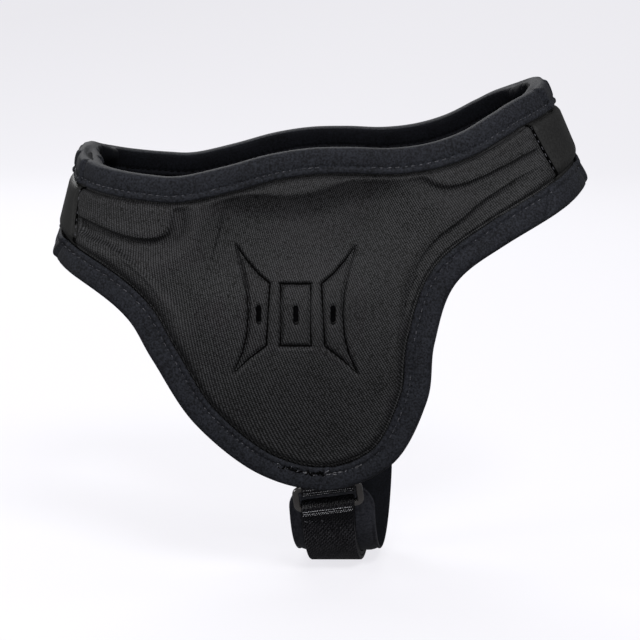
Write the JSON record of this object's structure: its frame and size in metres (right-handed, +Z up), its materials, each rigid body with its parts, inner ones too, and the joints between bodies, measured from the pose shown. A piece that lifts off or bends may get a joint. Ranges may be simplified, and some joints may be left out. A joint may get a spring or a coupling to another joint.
{
  "type": "wrestling ear guard",
  "caption": "Soft padded band that closes round the head, with a vented moulded cup over each ear, taped edges and a webbing chin strap with a pad.",
  "frame": {"origin": "halfway between the ears, on the line through the middle vents of the two ear cups", "axes": "+Z up out of the top of the head, +X towards the forehead, +Y towards the wearer's left"},
  "size_m": [0.2014, 0.1298, 0.1881],
  "materials": {
    "panel_cloth": "charcoal twill over moulded foam",
    "band_cloth": "smooth charcoal knit over foam",
    "binding_tape": "matte blue-black brushed tape with lockstitching",
    "webbing": "ribbed black webbing with a slight sheen",
    "ring_plastic": "dark glossy moulded plastic",
    "pad_cloth": "soft blue-black brushed cloth with pressed edges"
  },
  "bodies": {
    "root": {"side_panel_right": "panel_cloth", "side_panel_left": "panel_cloth", "front_panel": "band_cloth", "back_panel": "band_cloth", "top_binding": "binding_tape", "bottom_binding": "binding_tape", "strap_anchor_right": "webbing", "strap_anchor_left": "webbing", "strap_ring_right": "ring_plastic", "strap_ring_left": "ring_plastic", "chin_strap": "webbing", "chin_pad": "pad_cloth"}
  },
  "joints": []
}
